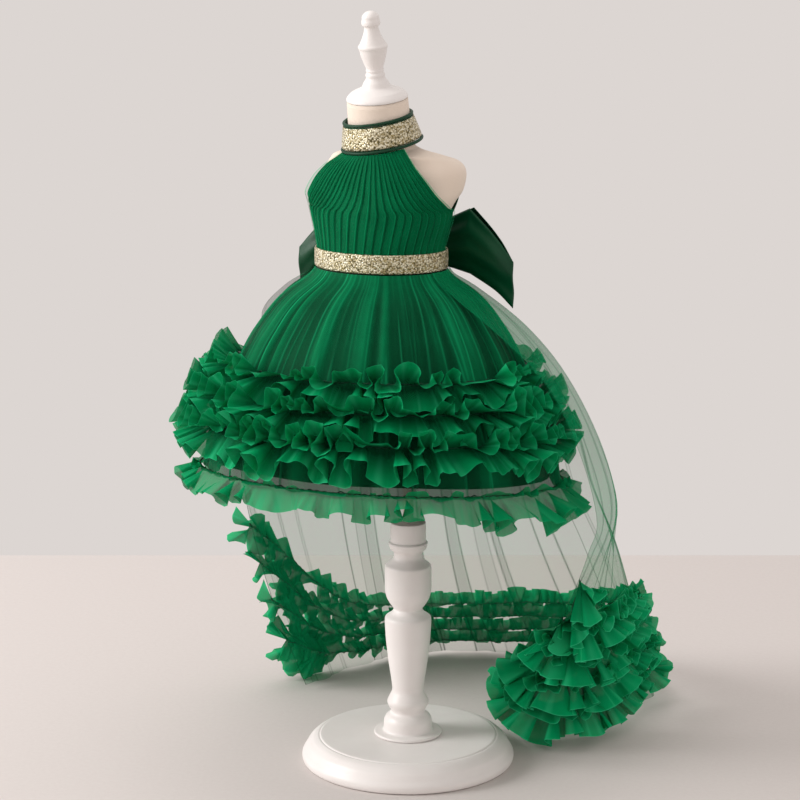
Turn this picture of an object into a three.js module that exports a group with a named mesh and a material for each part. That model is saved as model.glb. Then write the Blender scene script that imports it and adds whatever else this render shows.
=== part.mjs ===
// A girl's pageant dress on a limbless dress form, in millimetres with +Z up.
// The origin is the middle of the stand's underside. The dress faces -Y and the wearer's left is +X.
// Angles round the body are measured from the front towards the wearer's left.
import * as THREE from "three";

// Driving sizes of the cloth
const WALL = 1.5; // thickness of each cloth wall
const SEAM = 0.3; // gap where one piece is sewn to another
const HALF_TURN = Math.PI;

// Driving sizes of the body that the dress is worn on
const MIDDLE_X = -14; // the form stands a little to the wearer's right of its column
const WAIST_Y = -58; // and its belly stands forward of the column
const WAIST = { z: 757, halfWidth: 91, halfDepth: 74 };
const NECK = { y: -56, z: 920, lean: THREE.MathUtils.degToRad(10) };

// Driving sizes of the garment
const BELT = { bottom: 756, top: 783, standOff: 5, thickness: 2.5 };
const LINING_HEM = 465;
const TULLE_HEM = 452;
const PLEATS = 24; // across the bodice front
const GATHERS = 26; // round the tulle skirt
const TIER_WAVES = 24; // round each ruffle tier
const HEM_WAVES = 22; // round the hem ruffle
const TRAIN_WAVES = 11; // along each ruffle of the train
const TRAIN_FOLDS = 9; // long folds down the train
const SIDE_SEAM = THREE.MathUtils.degToRad(100);

const root = new THREE.Group();

// Colours and finishes
function cloth(colour) {
  return new THREE.MeshStandardMaterial({ color: colour, roughness: 0.85, metalness: 0 });
}
const TULLE = cloth(0x0a6b40);
const SATIN = cloth(0x06351f);
const PIPING = cloth(0x04301c);
const BROCADE = new THREE.MeshStandardMaterial({ color: 0xb9a468, roughness: 0.45, metalness: 0.4 });
const JERSEY = cloth(0xe3cdb0);
const PAINT = new THREE.MeshStandardMaterial({ color: 0xeae6e4, roughness: 0.4, metalness: 0 });

// Mixes two numbers.
function mix(a, b, t) {
  return a + (b - a) * t;
}

// Eases from 0 to 1 while x goes from one value to another, upwards or downwards.
function ease(from, to, x) {
  return THREE.MathUtils.smoothstep((x - from) / (to - from), 0, 1);
}

// Reads every column of a table at one value of its key column, straight between its rows.
function readTable(table, key, value) {
  const rising = table[table.length - 1][key] > table[0][key];
  let k = 0;
  while (k < table.length - 2 && (rising ? value > table[k + 1][key] : value < table[k + 1][key])) {
    k += 1;
  }
  const [from, to] = [table[k], table[k + 1]];
  const t = (value - from[key]) / (to[key] - from[key]);
  return Object.fromEntries(Object.keys(from).map((name) => [name, mix(from[name], to[name], t)]));
}

// Whole numbers from 0 to count.
function steps(count) {
  return Array.from({ length: count + 1 }, (_, k) => k);
}

// A closed body from a list of points and a list of triangles.
function bodyOf(points, triangles) {
  const geometry = new THREE.BufferGeometry();
  geometry.setAttribute("position", new THREE.Float32BufferAttribute(points.flatMap((p) => p.toArray()), 3));
  geometry.setIndex(triangles.flat());
  geometry.computeVertexNormals();
  return geometry;
}

// The way that a sheet faces at one of its points: down the sheet crossed with along it.
function facing(rows, j, i, closed) {
  const count = rows[0].length;
  const before = closed ? (i + count - 1) % count : Math.max(i - 1, 0);
  const after = closed ? (i + 1) % count : Math.min(i + 1, count - 1);
  const along = rows[j][after].clone().sub(rows[j][before]);
  const down = rows[Math.min(j + 1, rows.length - 1)][i].clone().sub(rows[Math.max(j - 1, 0)][i]);
  return down.cross(along).normalize();
}

// Cloth as a closed wall. The rows of points are its outer face, from the top down, each row
// running round the body from the front towards the wearer's left. The inner face lies one
// thickness behind it. A closed sheet joins its last column to its first.
function clothWall(rows, { thickness = WALL, closed = false } = {}) {
  const count = rows[0].length;
  const outer = rows.flat();
  const inner = rows.flatMap((row, j) =>
    row.map((point, i) => point.clone().addScaledVector(facing(rows, j, i, closed), -thickness)),
  );
  const at = (j, i) => j * count + (i % count);
  const back = outer.length;
  const triangles = [];
  const quad = (a, b, c, d) => triangles.push([a, b, c], [a, c, d]);
  const columns = closed ? count : count - 1;
  const last = rows.length - 1;
  for (let i = 0; i < columns; i += 1) {
    for (let j = 0; j < last; j += 1) {
      const [a, b, c, d] = [at(j, i), at(j, i + 1), at(j + 1, i), at(j + 1, i + 1)];
      quad(a, c, d, b);
      quad(back + a, back + b, back + d, back + c);
    }
    quad(at(0, i), at(0, i + 1), back + at(0, i + 1), back + at(0, i));
    quad(at(last, i + 1), at(last, i), back + at(last, i), back + at(last, i + 1));
  }
  if (!closed) {
    for (let j = 0; j < last; j += 1) {
      quad(at(j + 1, 0), at(j, 0), back + at(j, 0), back + at(j + 1, 0));
      const [high, low] = [at(j, count - 1), at(j + 1, count - 1)];
      quad(high, low, back + low, back + high);
    }
  }
  return bodyOf([...outer, ...inner], triangles);
}

// A solid through rings of points, from the bottom up, with a flat fan on each end.
function loft(rings) {
  const count = rings[0].length;
  const middle = (ring) => ring.reduce((sum, p) => sum.add(p), new THREE.Vector3()).divideScalar(count);
  const points = [...rings.flat(), middle(rings[0]), middle(rings[rings.length - 1])];
  const [bottom, top] = [points.length - 2, points.length - 1];
  const lastRing = (rings.length - 1) * count;
  const triangles = [];
  for (let i = 0; i < count; i += 1) {
    const next = (i + 1) % count;
    for (let j = 0; j < rings.length - 1; j += 1) {
      const [low, high] = [j * count, (j + 1) * count];
      triangles.push([low + i, low + next, high + next], [low + i, high + next, high + i]);
    }
    triangles.push([bottom, next, i], [top, lastRing + i, lastRing + next]);
  }
  return bodyOf(points, triangles);
}

// A turned solid about +Z from its profile, listed from the bottom up.
function turned(profile, sides) {
  const outline = profile.map(({ r, z }) => new THREE.Vector2(r, z));
  return new THREE.LatheGeometry(outline, sides).rotateX(HALF_TURN / 2);
}

// Adds one named piece.
function add(parent, name, geometry, material) {
  const mesh = new THREE.Mesh(geometry, material);
  mesh.name = name;
  parent.add(mesh);
  return mesh;
}

// A point of an oval section round the body. Its middle is x beside the form's own.
function ovalPoint({ x = 0, y, z, halfWidth, halfDepth, lean = 0 }, angle) {
  const back = -halfDepth * Math.cos(angle);
  return new THREE.Vector3(
    MIDDLE_X + x + halfWidth * Math.sin(angle),
    y + back * Math.cos(lean),
    z + back * Math.sin(lean),
  );
}

// The stand: a turned foot, a turned column and a plain pole, one on top of the other.
const BASE = { height: 39.5, radius: 159.5 };
const COLUMN_TOP = 367;
const FORM_BOTTOM = 585;
const BASE_PROFILE = [
  { r: 0, z: 0 },
  { r: BASE.radius - 3.5, z: 0 },
  { r: BASE.radius, z: 8 },
  { r: BASE.radius - 4.5, z: 18 },
  { r: BASE.radius - 9.5, z: 27 },
  { r: BASE.radius - 17.5, z: 34.5 },
  { r: BASE.radius - 25.5, z: 38 },
  { r: 130.5, z: BASE.height },
  { r: 0, z: BASE.height },
];
const COLUMN_PROFILE = [
  { r: 0, z: BASE.height + SEAM },
  { r: 51.2, z: BASE.height + SEAM },
  { r: 51.2, z: 44.5 },
  { r: 36.5, z: 45.5 },
  { r: 36.1, z: 61.6 },
  { r: 25.6, z: 73 },
  { r: 25.6, z: 77.4 },
  { r: 31.6, z: 90 },
  { r: 23.1, z: 107.4 },
  { r: 29.5, z: 153 },
  { r: 34.9, z: 218.4 },
  { r: 21.2, z: 233 },
  { r: 26.8, z: 241.7 },
  { r: 34.7, z: 262 },
  { r: 34.1, z: 301.3 },
  { r: 20.8, z: 316.7 },
  { r: 27, z: 326.6 },
  { r: 29.6, z: 334.8 },
  { r: 26.4, z: 338 },
  { r: 26.4, z: COLUMN_TOP },
  { r: 0, z: COLUMN_TOP },
];
const POLE_PROFILE = [
  { r: 0, z: COLUMN_TOP + SEAM },
  { r: 8, z: COLUMN_TOP + SEAM },
  { r: 8, z: FORM_BOTTOM - SEAM },
  { r: 0, z: FORM_BOTTOM - SEAM },
];
add(root, "base", turned(BASE_PROFILE, 36), PAINT);
add(root, "column", turned(COLUMN_PROFILE, 18), PAINT);
add(root, "pole", turned(POLE_PROFILE, 10), PAINT);

// The form: level oval sections from its flat underside, over the shoulders' round ends, to a
// neck that leans forward. The shoulders stand a little towards the wearer's left.
const NECK_TOP = 75; // along the neck from its foot
const FORM_SECTIONS = [
  { z: FORM_BOTTOM, y: -24, halfWidth: 94, halfDepth: 78, lean: 0 },
  { z: 625, y: -34, halfWidth: 98, halfDepth: 82, lean: 0 },
  { z: 680, y: -48, halfWidth: 99, halfDepth: 83, lean: 0 },
  { z: 725, y: -56, halfWidth: 94, halfDepth: 78, lean: 0 },
  { z: WAIST.z, y: WAIST_Y, halfWidth: WAIST.halfWidth, halfDepth: WAIST.halfDepth, lean: 0 },
  { z: 796, y: -57, halfWidth: 92, halfDepth: 73, lean: 0 },
  { z: 828, y: -53, halfWidth: 97, halfDepth: 73, lean: 0 },
  { z: 849, y: -46, halfWidth: 105, halfDepth: 72, lean: 0 },
  { z: 866, x: 2, y: -33, halfWidth: 110, halfDepth: 72, lean: 0 },
  { z: 890, x: 6, y: -27, halfWidth: 108, halfDepth: 70, lean: 0 },
  { z: 905, x: 7, y: -29, halfWidth: 99, halfDepth: 62, lean: 0 },
  { z: 914, x: 5, y: -42, halfWidth: 83, halfDepth: 50, lean: 0 },
  { z: 921, x: 2, y: -52, halfWidth: 54, halfDepth: 45, lean: NECK.lean / 2 },
  { z: 934, y: -58, halfWidth: 46, halfDepth: 44, lean: NECK.lean },
  {
    z: NECK.z + NECK_TOP * Math.cos(NECK.lean),
    y: NECK.y - NECK_TOP * Math.sin(NECK.lean),
    halfWidth: 43,
    halfDepth: 43,
    lean: NECK.lean,
  },
];
const FORM_SIDES = 28;
const formRings = FORM_SECTIONS.map((section) =>
  steps(FORM_SIDES - 1).map((i) => ovalPoint(section, (2 * HALF_TURN * i) / FORM_SIDES)),
);
add(root, "form", loft(formRings), JERSEY);

// What sits on the neck shares its lean.
const neck = new THREE.Group();
neck.position.set(MIDDLE_X, NECK.y, NECK.z);
neck.rotation.x = NECK.lean;
root.add(neck);

const FINIAL_PROFILE = [
  { r: 0, up: 0 },
  { r: 43.5, up: 0 },
  { r: 43.5, up: 3 },
  { r: 36, up: 11 },
  { r: 21, up: 17 },
  { r: 18, up: 24 },
  { r: 13, up: 31 },
  { r: 13.6, up: 36 },
  { r: 11.6, up: 42 },
  { r: 16, up: 60 },
  { r: 20.7, up: 74 },
  { r: 12, up: 90 },
  { r: 9.7, up: 101 },
  { r: 13, up: 108 },
  { r: 12, up: 117 },
  { r: 6, up: 123 },
  { r: 0, up: 124 },
];
const finialProfile = FINIAL_PROFILE.map(({ r, up }) => ({ r, z: NECK_TOP + SEAM + up }));
add(neck, "finial", turned(finialProfile, 16), PAINT);

// The collar: a satin band that widens downwards, brocade on its outside and piping on its edges.
// It sits askew: it is tipped about its middle, so that the wearer's left side is higher.
const COLLAR = { bottom: 11, top: 48, bottomRadius: 57, topRadius: 48.5, pipe: 2.2, sides: 28 };
const TRIM_THICKNESS = 1.2;
const TRIM_INSET = 1.2; // between the brocade and each piping
const COLLAR_TIP = THREE.MathUtils.degToRad(5.5);
const collarMiddle = (COLLAR.bottom + COLLAR.top) / 2;
const tipped = new THREE.Group();
tipped.position.z = collarMiddle;
tipped.rotation.y = -COLLAR_TIP;
neck.add(tipped);
const collar = new THREE.Group();
collar.position.z = -collarMiddle;
tipped.add(collar);
function collarRadius(up) {
  return mix(COLLAR.bottomRadius, COLLAR.topRadius, (up - COLLAR.bottom) / (COLLAR.top - COLLAR.bottom));
}
function collarStrip(bottom, top, inside, outside) {
  const profile = [
    { r: collarRadius(bottom) + inside, z: bottom },
    { r: collarRadius(bottom) + outside, z: bottom },
    { r: collarRadius(top) + outside, z: top },
    { r: collarRadius(top) + inside, z: top },
    { r: collarRadius(bottom) + inside, z: bottom },
  ];
  return turned(profile, COLLAR.sides);
}
const bandBottom = COLLAR.bottom + COLLAR.pipe + SEAM;
const bandTop = COLLAR.top - COLLAR.pipe - SEAM;
add(collar, "collar_band", collarStrip(bandBottom, bandTop, -WALL, 0), SATIN);
add(
  collar,
  "collar_trim",
  collarStrip(bandBottom + TRIM_INSET, bandTop - TRIM_INSET, SEAM, SEAM + TRIM_THICKNESS),
  BROCADE,
);
for (const [name, up] of [
  ["collar_piping_top", COLLAR.top],
  ["collar_piping_bottom", COLLAR.bottom],
]) {
  const ring = new THREE.TorusGeometry(collarRadius(up), COLLAR.pipe, 4, COLLAR.sides);
  add(collar, name, ring, PIPING).position.z = up;
}

// The bodice below the collar, level by level: the oval that its cloth follows, and how far round
// the halter front reaches to each side. It is narrow at the collar and reaches the side seams
// under the arms.
const BODICE = [
  { z: 902.7, y: -58, halfWidth: 82, halfDepth: 58, reach: 57, pleat: 2.4 },
  { z: 885.2, y: -58, halfWidth: 99, halfDepth: 63, reach: 59, pleat: 2.6 },
  { z: 861.9, y: -58, halfWidth: 109, halfDepth: 68, reach: 68, pleat: 2.6 },
  { z: 846.4, y: -58, halfWidth: 107, halfDepth: 72, reach: 84, pleat: 2.6 },
  { z: 833.8, y: -57, halfWidth: 105, halfDepth: 75, reach: 100, pleat: 2.6 },
  { z: 788.1, y: -58, halfWidth: 94, halfDepth: 77, reach: 100, pleat: 1.6 },
  { z: WAIST.z + SEAM, y: WAIST_Y, halfWidth: 93.2, halfDepth: 76.2, reach: 100, pleat: 1.4 },
];
const HALTER_AT_COLLAR = THREE.MathUtils.degToRad(59);
const PLEAT_AT_COLLAR = 1.2;
const PLEAT_FACE = 0.75; // share of each pleat that is its wide face

// Where the halter front meets the underside of the collar's piping.
const COLLAR_SEAM = COLLAR.bottom - COLLAR.pipe - SEAM;
collar.updateWorldMatrix(true, false);
function collarSeamPoint(angle, out) {
  const radius = COLLAR.bottomRadius + out;
  const point = new THREE.Vector3(radius * Math.sin(angle), -radius * Math.cos(angle), COLLAR_SEAM);
  return collar.localToWorld(point);
}

// The columns of the front come two to a pleat: the sharp fold and the line that it covers.
const pleatColumns = steps(2 * PLEATS).map((k) => {
  const fold = k % 2;
  return { across: ((k - fold) / 2 + fold * PLEAT_FACE) / PLEATS, fold };
});
const frontRows = [
  pleatColumns.map(({ across, fold }) => {
    const angle = mix(-HALTER_AT_COLLAR, HALTER_AT_COLLAR, across);
    return collarSeamPoint(angle, fold * PLEAT_AT_COLLAR);
  }),
  ...BODICE.map((section) => {
    const reach = THREE.MathUtils.degToRad(section.reach);
    return pleatColumns.map(({ across, fold }) => {
      const wide = {
        ...section,
        halfWidth: section.halfWidth + fold * section.pleat,
        halfDepth: section.halfDepth + fold * section.pleat,
      };
      return ovalPoint(wide, mix(-reach, reach, across));
    });
  }),
];
add(root, "bodice_front", clothWall(frontRows), TULLE);

// The back halves: plain, from each side seam to the centre back seam. Their top edge starts at
// the armhole's corner and stands off the back, where it rises a little.
const BACK = { corner: 833.8, rise: 30, columns: 9, gap: 0.3 };
const BACK_SECTIONS = [
  { z: 866.8, y: -50, halfWidth: 121, halfDepth: 95 },
  { z: 833.8, y: -57, halfWidth: 105, halfDepth: 84 },
  { z: 788, y: -58, halfWidth: 94, halfDepth: 77 },
  { z: WAIST.z + SEAM, y: WAIST_Y, halfWidth: 93.2, halfDepth: 76.2 },
];
const BACK_LEVELS = [1, 0.7, 0.37, 0]; // from the top edge down to the waist
function backHalf(from, to) {
  const rows = BACK_LEVELS.map((level) =>
    steps(BACK.columns).map((k) => {
      const angle = mix(from, to, k / BACK.columns);
      const round = Math.abs(Math.abs(angle) - SIDE_SEAM);
      const top = BACK.corner + BACK.rise * ease(0, HALF_TURN / 5, round);
      const z = mix(WAIST.z + SEAM, top, level);
      return ovalPoint({ ...readTable(BACK_SECTIONS, "z", z), z }, angle);
    }),
  );
  return clothWall(rows);
}
const seamAngle = BACK.gap / WAIST.halfDepth;
const sideGap = (2 * BACK.gap) / WAIST.halfWidth;
add(root, "bodice_back_left", backHalf(SIDE_SEAM + sideGap, HALF_TURN - seamAngle), SATIN);
add(root, "bodice_back_right", backHalf(seamAngle - HALF_TURN, -SIDE_SEAM - sideGap), SATIN);

// The belt: a flat brocade band that covers the waist seam.
const BELT_COLUMNS = 40;
const beltRows = [BELT.top, BELT.bottom].map((z) => {
  const out = BELT.standOff + BELT.thickness;
  const section = {
    y: WAIST_Y,
    z,
    halfWidth: WAIST.halfWidth + out,
    halfDepth: WAIST.halfDepth + out,
  };
  return steps(BELT_COLUMNS - 1).map((i) => ovalPoint(section, (2 * HALF_TURN * i) / BELT_COLUMNS));
});
add(root, "belt", clothWall(beltRows, { thickness: BELT.thickness, closed: true }), BROCADE);

// The skirt's bell, level by level: the lining's oval, how much higher the front hangs than the
// middle, how far the tulle and the train stand off the lining, and how deep the gathers are.
const BELL = [
  { z: 757, halfWidth: 93.2, halfDepth: 76.2, frontUp: 0, tulle: 2.3, gather: 0.6, train: 6.4 },
  { z: 744, halfWidth: 101, halfDepth: 84, frontUp: 0, tulle: 4, gather: 2, train: 10 },
  { z: 722, halfWidth: 129, halfDepth: 115, frontUp: 1, tulle: 5, gather: 4, train: 17 },
  { z: 670, halfWidth: 170, halfDepth: 161, frontUp: 4, tulle: 6, gather: 6, train: 40 },
  { z: 602, halfWidth: 204, halfDepth: 198, frontUp: 11, tulle: 6, gather: 7, train: 63 },
  { z: 512, halfWidth: 238, halfDepth: 234, frontUp: 23, tulle: 6, gather: 8, train: 78 },
  { z: 424, halfWidth: 250, halfDepth: 246, frontUp: 32, tulle: 6, gather: 9, train: 92 },
];
function bellPoint(z, angle, out) {
  const { halfWidth, halfDepth, frontUp } = readTable(BELL, "z", z);
  const section = { y: WAIST_Y, z, halfWidth: halfWidth + out, halfDepth: halfDepth + out };
  const point = ovalPoint(section, angle);
  point.z += frontUp * Math.cos(angle);
  return point;
}

const LINING_COLUMNS = 32;
const BELL_LEVELS = BELL.slice(1, -1).map(({ z }) => z);
const LINING_LEVELS = [WAIST.z, ...BELL_LEVELS, LINING_HEM];
const liningRows = LINING_LEVELS.map((z) =>
  steps(LINING_COLUMNS - 1).map((i) => bellPoint(z, (2 * HALF_TURN * i) / LINING_COLUMNS, 0)),
);
add(root, "skirt_lining", clothWall(liningRows, { closed: true }), SATIN);

// The gathers have one sharp crest and two low points each.
const TULLE_TOP = BELT.bottom - 2 * SEAM - 1;
const TULLE_COLUMNS = 3 * GATHERS;
const tulleLevels = [TULLE_TOP, ...BELL_LEVELS, TULLE_HEM];
const tulleRows = tulleLevels.map((z) => {
  const { tulle, gather } = readTable(BELL, "z", z);
  return steps(TULLE_COLUMNS - 1).map((i) => {
    const crest = i % 3 === 0 ? 1 : 0;
    return bellPoint(z, (2 * HALF_TURN * i) / TULLE_COLUMNS, tulle + gather * crest);
  });
});
add(root, "skirt_tulle", clothWall(tulleRows, { closed: true }), TULLE);

// Ruffles. Each column of a ruffle has the point where it is sewn on, the way that it stands out,
// the way up and the way along its seam. Four columns make one wave, and the free edge swings
// sideways so that each wave is wider than its neck.
const WAVE_COLUMNS = 4;
const WAVE_LEVELS = [1, 1, -1, -1];
const WAVE_SWING = [-1, 1, -1, 1];
function sewnEdge(columns) {
  return columns.map(({ seam }) => seam);
}
function freeEdge(columns, { length, drop, wave, swing }) {
  return columns.map(({ seam, out, up, along, reach }, i) => {
    const step = i % WAVE_COLUMNS;
    const lift = wave * WAVE_LEVELS[step];
    return seam
      .clone()
      .addScaledVector(out, reach * (length * Math.cos(drop) + lift * Math.sin(drop)))
      .addScaledVector(up, reach * (lift * Math.cos(drop) - length * Math.sin(drop)))
      .addScaledVector(along, reach * swing * WAVE_SWING[step]);
  });
}

// Where the train covers the skirt, the ruffles under it are pressed flatter.
function pressed(angle, flat) {
  const round = Math.abs(Math.atan2(Math.sin(angle), Math.cos(angle)));
  return mix(1, flat, ease(HALF_TURN * 0.38, HALF_TURN * 0.5, round));
}
// No two waves of a ruffle are the same: each is up to a fifth shorter than the longest.
function uneven(i) {
  const wave = Math.floor(i / WAVE_COLUMNS);
  return 0.9 + 0.06 * Math.sin(2.3 * wave) + 0.04 * Math.sin(4.1 * wave);
}
const FRILL_GAP = 2.2; // from the gathers' crests to the ruffle's sewn edge
function skirtSeam(seamZ, waves, flat) {
  const count = waves * WAVE_COLUMNS;
  const { tulle, gather } = readTable(BELL, "z", seamZ);
  return steps(count - 1).map((i) => {
    const angle = (2 * HALF_TURN * i) / count;
    return {
      seam: bellPoint(seamZ, angle, tulle + gather + FRILL_GAP),
      out: new THREE.Vector3(Math.sin(angle), -Math.cos(angle), 0),
      up: new THREE.Vector3(0, 0, 1),
      along: new THREE.Vector3(Math.cos(angle), Math.sin(angle), 0),
      reach: pressed(angle, flat) * uneven(i),
    };
  });
}

// Each tier is a strip gathered along its middle, with one lip that stands up and one that hangs.
const TIERS = [
  { name: "ruffle_tier_1", z: 617, upper: 36, lower: 36, flat: 0.5 },
  { name: "ruffle_tier_2", z: 574, upper: 40, lower: 42, flat: 0.62 },
  { name: "ruffle_tier_3", z: 528, upper: 42, lower: 46, flat: 0.75 },
];
const TIER_LIP = { rise: 0.35, drop: 0.45, wave: 13, swing: 5 };
for (const { name, z, upper, lower, flat } of TIERS) {
  const columns = skirtSeam(z, TIER_WAVES, flat);
  const rows = [
    freeEdge(columns, { ...TIER_LIP, length: upper, drop: -TIER_LIP.rise }),
    sewnEdge(columns),
    freeEdge(columns, { ...TIER_LIP, length: lower }),
  ];
  add(root, name, clothWall(rows, { closed: true }), TULLE);
}

// The hem ruffle hangs from its upper edge, just below the lining's hem.
const HEM_FRILL = { z: 458, length: 38, drop: 0.6, wave: 11, swing: 5, flat: 0.95 };
const hemColumns = skirtSeam(HEM_FRILL.z, HEM_WAVES, HEM_FRILL.flat);
const hemRows = [sewnEdge(hemColumns), freeEdge(hemColumns, HEM_FRILL)];
add(root, "hem_ruffle", clothWall(hemRows, { closed: true }), TULLE);

// The train. Down to the bell's foot it hangs off the bell, open in front between its two edges.
// Below, it runs out to the line of its hem on the floor, which starts at the wearer's left,
// where the edge curls inwards, and passes round the back to the edge at the wearer's right.
const TRAIN_EDGES = [
  { z: WAIST.z, left: THREE.MathUtils.degToRad(70), right: THREE.MathUtils.degToRad(70) },
  { z: 602, left: THREE.MathUtils.degToRad(88), right: THREE.MathUtils.degToRad(113) },
];
// The heights of the four rows of ruffle above the hem fall from both edges towards the back.
// The plan widens with the share of the fall to the power of spread.
const TRAIN_HEM = [
  { u: 0, x: 52, y: 254, z: 22, spread: 1.25 },
  { u: 0.056, x: 84, y: 192, z: 8, spread: 1.25 },
  { u: 0.113, x: 146, y: 168, z: 8, spread: 1.1 },
  { u: 0.168, x: 204, y: 208, z: 8, spread: 0.95 },
  { u: 0.23, x: 220, y: 292, z: 8, spread: 0.85 },
  { u: 0.33, x: 228, y: 424, z: 8, spread: 0.85 },
  { u: 0.452, x: 130, y: 524, z: 8, spread: 1.0 },
  { u: 0.574, x: -34, y: 524, z: 8, spread: 1.3 },
  { u: 0.711, x: -190, y: 446, z: 8, spread: 1.5 },
  { u: 0.861, x: -262, y: 330, z: 8, spread: 1.5 },
  { u: 0.93, x: -277, y: 262, z: 8, spread: 1.5 },
  { u: 1, x: -288, y: 203, z: 8, spread: 1.5 },
];
const TRAIN_ROWS = [
  { u: 0, first: 320, second: 240, third: 160, fourth: 88 },
  { u: 0.06, first: 242, second: 180, third: 126, fourth: 72 },
  { u: 0.11, first: 236, second: 172, third: 120, fourth: 69 },
  { u: 0.3, first: 205, second: 160, third: 112, fourth: 62 },
  { u: 0.45, first: 142, second: 110, third: 77, fourth: 42 },
  { u: 0.55, first: 123, second: 93, third: 62, fourth: 33 },
  { u: 0.71, first: 114, second: 84, third: 56, fourth: 30 },
  { u: 0.81, first: 124, second: 90, third: 60, fourth: 32 },
  { u: 0.86, first: 146, second: 103, third: 68, fourth: 36 },
  { u: 0.93, first: 224, second: 158, third: 104, fourth: 54 },
  { u: 1, first: 304, second: 236, third: 170, fourth: 94 },
];
const TRAIN_COLUMNS = TRAIN_WAVES * WAVE_COLUMNS;
const TRAIN_UPPER = [BELT.bottom - SEAM, ...BELL.slice(1).map(({ z }) => z)];
const TRAIN_FOOT = BELL[BELL.length - 1].z;
const FOLD_DEPTH = { bell: 4, hem: 12 };
const FOLDS_START = 722; // height at which the long folds begin
const TRAIN_MIDDLE_Y = 60; // the folds open away from this line
const trainFold = (u) => Math.cos(2 * HALF_TURN * TRAIN_FOLDS * u);
function trainUpper(u, z) {
  const [waist, bell] = TRAIN_EDGES;
  const eased = ease(waist.z, bell.z, z);
  const left = mix(waist.left, bell.left, eased);
  const angle = mix(left, 2 * HALF_TURN - mix(waist.right, bell.right, eased), u);
  const depth = FOLD_DEPTH.bell * ease(FOLDS_START, TRAIN_FOOT, z) * trainFold(u);
  return bellPoint(z, angle, readTable(BELL, "z", z).train + depth);
}
function trainLower(u, share) {
  const foot = trainUpper(u, TRAIN_FOOT);
  const hem = readTable(TRAIN_HEM, "u", u);
  const plan = share ** hem.spread;
  const middle = new THREE.Vector2(foot.x - MIDDLE_X, foot.y - TRAIN_MIDDLE_Y).normalize();
  const depth = FOLD_DEPTH.hem * share * trainFold(u);
  return new THREE.Vector3(
    mix(foot.x, hem.x, plan) + depth * middle.x,
    mix(foot.y, hem.y, plan) + depth * middle.y,
    mix(foot.z, hem.z, share),
  );
}
// The shares of the way from the bell's foot to the hem at which one column has its points: one
// between the foot and the first ruffle, one for each ruffle and one for the hem.
function trainShares(u) {
  const top = trainUpper(u, TRAIN_FOOT).z;
  const drop = top - readTable(TRAIN_HEM, "u", u).z;
  const { first, second, third, fourth } = readTable(TRAIN_ROWS, "u", u);
  const shares = [first, second, third, fourth].map((z) => (top - z) / drop);
  return [shares[0] / 2, ...shares, 1];
}
const trainAcross = steps(TRAIN_COLUMNS).map((i) => i / TRAIN_COLUMNS);
const trainColumns = trainAcross.map((u) => [
  ...TRAIN_UPPER.map((z) => trainUpper(u, z)),
  ...trainShares(u).map((share) => trainLower(u, share)),
]);
const trainRows = trainColumns[0].map((_, j) => trainColumns.map((column) => column[j]));
add(root, "train", clothWall(trainRows), TULLE);

// The train's ruffles, sewn to its outer face along four of its rows. Each one is as long as
// the room down to the next row allows.
const TRAIN_RUFFLES = 4;
const TRAIN_RUFFLE = { length: 44, drop: 0.9, wave: 10, swing: 4, spacing: 52 };
const TRAIN_FRILL_GAPS = [2.2, 2.2, 2.4, 2.4]; // the topmost row crosses the sharpest folds
for (const k of steps(TRAIN_RUFFLES - 1)) {
  const row = trainRows.length - 1 - TRAIN_RUFFLES + k;
  const columns = steps(TRAIN_COLUMNS).map((i) => {
    const out = facing(trainRows, row, i, false);
    const rise = trainRows[row][i].clone().sub(trainRows[row + 1][i]);
    const reach = Math.min(1, rise.length() / TRAIN_RUFFLE.spacing) * uneven(i + k);
    const up = rise.normalize();
    const along = up.clone().cross(out);
    const seam = trainRows[row][i].clone().addScaledVector(out, TRAIN_FRILL_GAPS[k]);
    return { seam, out, up, along, reach };
  });
  const rows = [sewnEdge(columns), freeEdge(columns, TRAIN_RUFFLE)];
  add(root, `train_ruffle_${k + 1}`, clothWall(rows), TULLE);
}

// The bow: two big flat loops that droop over the back of the skirt, and the knot between them.
const BOW = { y: 31, z: 776, knotHalfWidth: 13, knotHalfHeight: 18, knotDepth: 7.1 };
const BOW_LOOP = [
  { out: 13.2, y: 31, top: 786, bottom: 762, puff: 4 },
  { out: 55, y: 44, top: 815, bottom: 747, puff: 15 },
  { out: 98, y: 38, top: 834, bottom: 739, puff: 17 },
  { out: 144, y: 24, top: 796, bottom: 719, puff: 12 },
  { out: 174, y: 14, top: 763, bottom: 697, puff: 1.5 },
];
const BOW_LEVELS = [0, 0.5, 1];
function bowLoop(side) {
  const front = BOW_LOOP.map((row) => ({ ...row, y: row.y - row.puff }));
  const rear = BOW_LOOP.map((row) => ({ ...row, y: row.y + row.puff })).reverse();
  const path = side > 0 ? [...front, ...rear] : [...front, ...rear].reverse();
  const rows = BOW_LEVELS.map((level) =>
    path.map(({ out, y, top, bottom }) =>
      new THREE.Vector3(MIDDLE_X + side * out, y, mix(top, bottom, level)),
    ),
  );
  return clothWall(rows, { thickness: 1.2, closed: true });
}
add(root, "bow_loop_left", bowLoop(1), SATIN);
add(root, "bow_loop_right", bowLoop(-1), SATIN);

const knot = new THREE.BoxGeometry(
  2 * (BOW.knotHalfWidth - SEAM),
  2 * BOW.knotDepth,
  2 * BOW.knotHalfHeight,
);
add(root, "bow_knot", knot, SATIN).position.set(MIDDLE_X, BOW.y, BOW.z);

export default root;
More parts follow.
